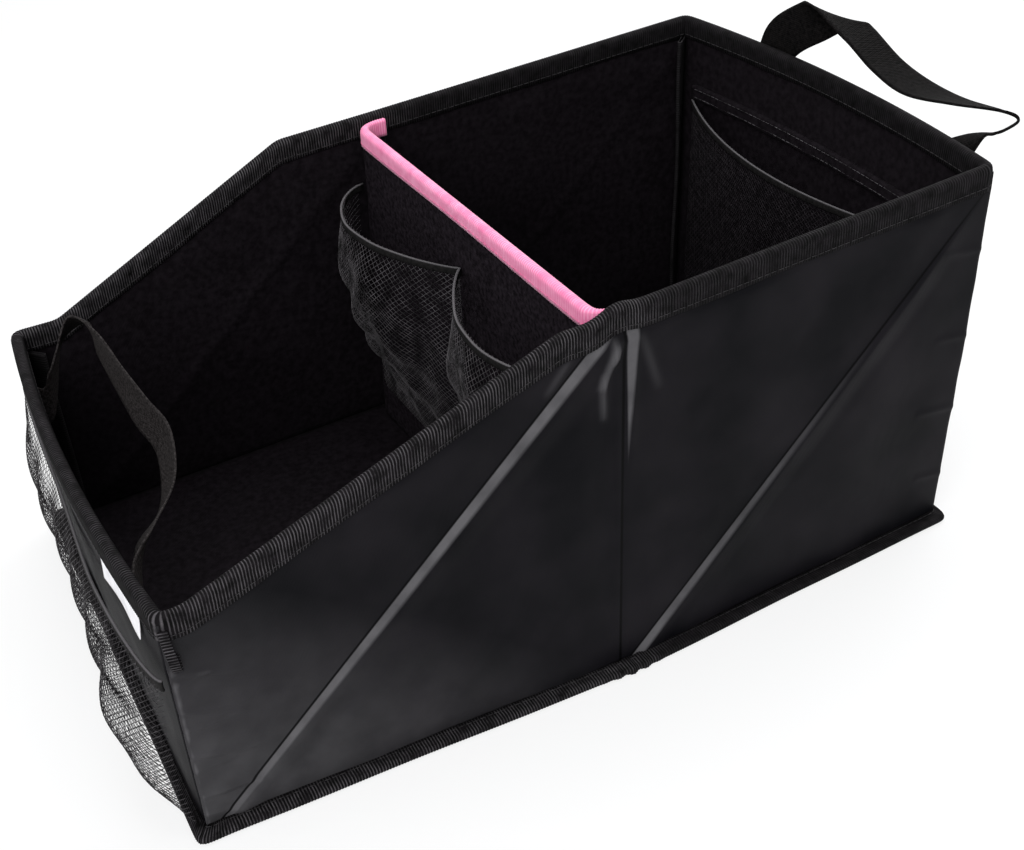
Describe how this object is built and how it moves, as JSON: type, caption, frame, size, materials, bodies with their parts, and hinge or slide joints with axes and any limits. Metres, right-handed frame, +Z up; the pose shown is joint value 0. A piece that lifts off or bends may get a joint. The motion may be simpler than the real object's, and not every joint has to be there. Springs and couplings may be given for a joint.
{
  "type": "car organizer bag",
  "caption": "Open folding car organizer bag: low front wall, creased side walls rising to a high rear wall, a divider, net pockets, bound edges, a webbing handle and an inner strap.",
  "frame": {"origin": "the middle of the base, on the surface that the bag stands on", "axes": "+X from the low front wall to the high rear wall, +Y from the near side to the far side, +Z up"},
  "size_m": [0.5035, 0.2922, 0.2482],
  "materials": {
    "coated_cloth": "slightly glossy coated weave",
    "lining_cloth": "matte",
    "stiff_board": "matte, hidden inside the walls",
    "binding_tape": "ribbed tape",
    "divider_felt": "matte felt",
    "pink_tape": "ribbed tape",
    "pocket_mesh": "knitted net",
    "elastic_edge": "knitted elastic",
    "webbing": "woven webbing",
    "label": "smooth blank woven label"
  },
  "bodies": {
    "root": {"base_binding": "binding_tape", "base_board_front": "stiff_board", "base_board_rear": "stiff_board", "corner_binding_front_far": "binding_tape", "corner_binding_front_near": "binding_tape", "corner_binding_rear_far": "binding_tape", "corner_binding_rear_near": "binding_tape", "divider_back": "divider_felt", "divider_binding": "pink_tape", "divider_board": "stiff_board", "divider_front": "divider_felt", "divider_pocket_elastic": "elastic_edge", "divider_pocket_net": "pocket_mesh", "front_board": "stiff_board", "front_pocket_elastic": "elastic_edge", "front_pocket_net": "pocket_mesh", "handle": "webbing", "inner_strap": "elastic_edge", "lining_base": "lining_cloth", "lining_front": "lining_cloth", "lining_rear": "lining_cloth", "lining_side_far": "lining_cloth", "lining_side_near": "lining_cloth", "outer_base": "coated_cloth", "outer_front": "coated_cloth", "outer_rear": "coated_cloth", "outer_side_far": "coated_cloth", "outer_side_near": "coated_cloth", "rear_board": "stiff_board", "rear_pocket_elastic": "elastic_edge", "rear_pocket_net": "pocket_mesh", "rear_slip_pocket": "lining_cloth", "rim_binding": "binding_tape", "side_board_far_front_lower": "stiff_board", "side_board_far_front_upper": "stiff_board", "side_board_far_rear_lower": "stiff_board", "side_board_far_rear_upper": "stiff_board", "side_board_near_front_lower": "stiff_board", "side_board_near_front_upper": "stiff_board", "side_board_near_rear_lower": "stiff_board", "side_board_near_rear_upper": "stiff_board", "side_label": "label"}
  },
  "joints": []
}
